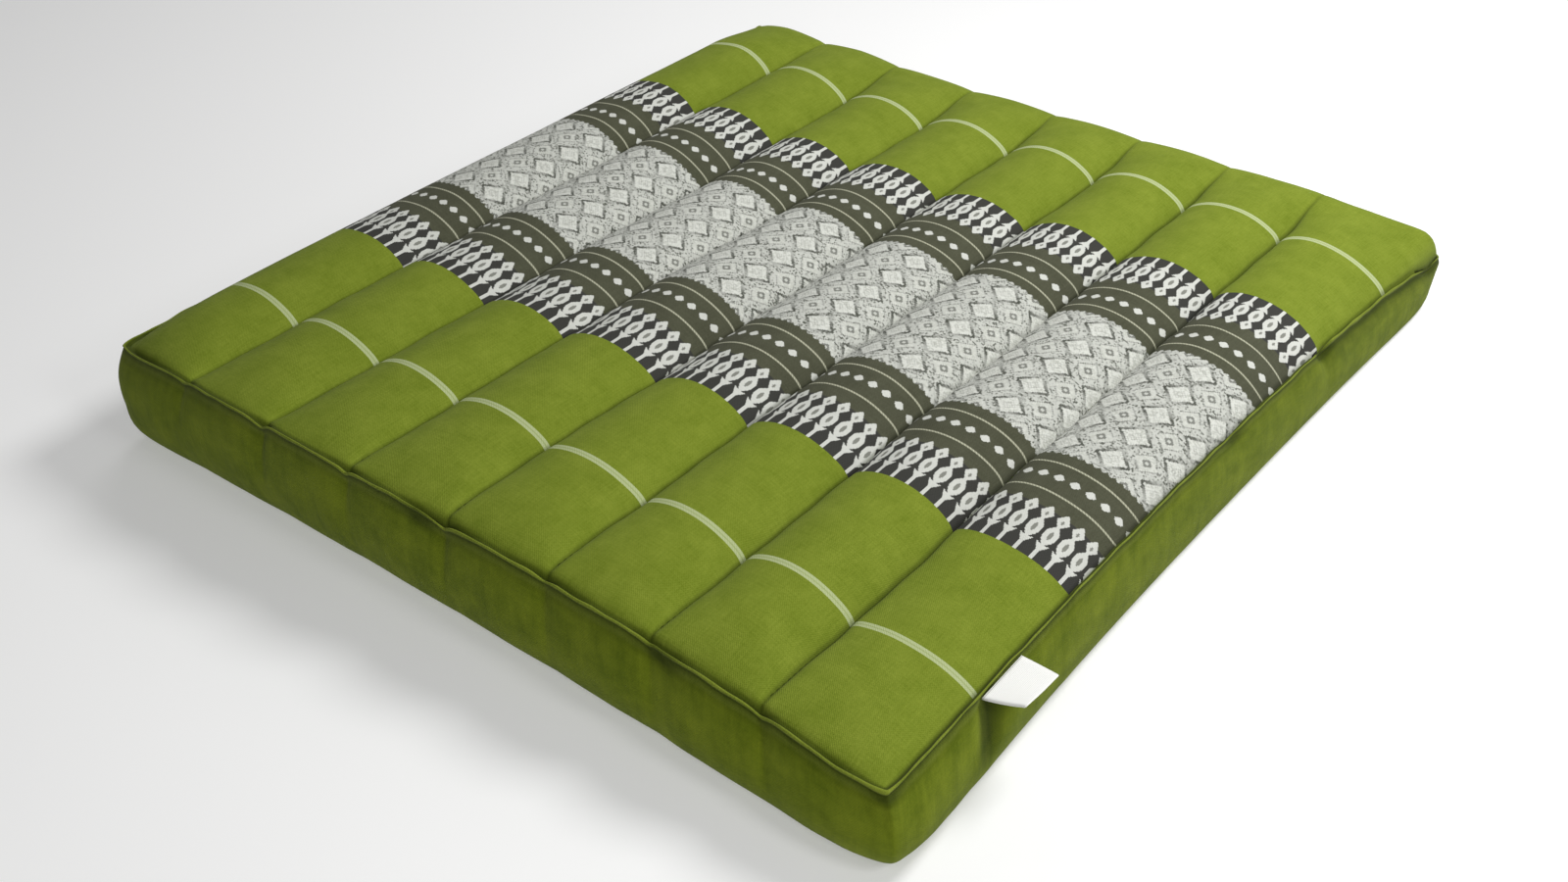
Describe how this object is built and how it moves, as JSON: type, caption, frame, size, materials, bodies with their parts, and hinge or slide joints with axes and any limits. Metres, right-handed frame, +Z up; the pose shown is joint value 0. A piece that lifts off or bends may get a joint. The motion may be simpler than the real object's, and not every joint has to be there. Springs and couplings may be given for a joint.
{
  "type": "meditation cushion",
  "caption": "Low square floor cushion sewn into parallel filled channels, with a pinched welt round its top edge, soft boxed sides and a small side label, for sitting or meditating on.",
  "frame": {"origin": "centre of the cushion's base, on the floor; the label that hangs out of one side isn't counted in the centring", "axes": "+Z up, Y along the sewn channels with -Y the front edge, X across the channels with the label on the +X side"},
  "size_m": [0.5057, 0.5253, 0.07],
  "materials": {
    "cover_cloth": "matte plain-woven cotton, leaf green, with a grey and white woven middle field on top",
    "label_cloth": "folded white label tape, bare"
  },
  "bodies": {
    "root": {"cushion": "cover_cloth", "label": "label_cloth"}
  },
  "joints": []
}
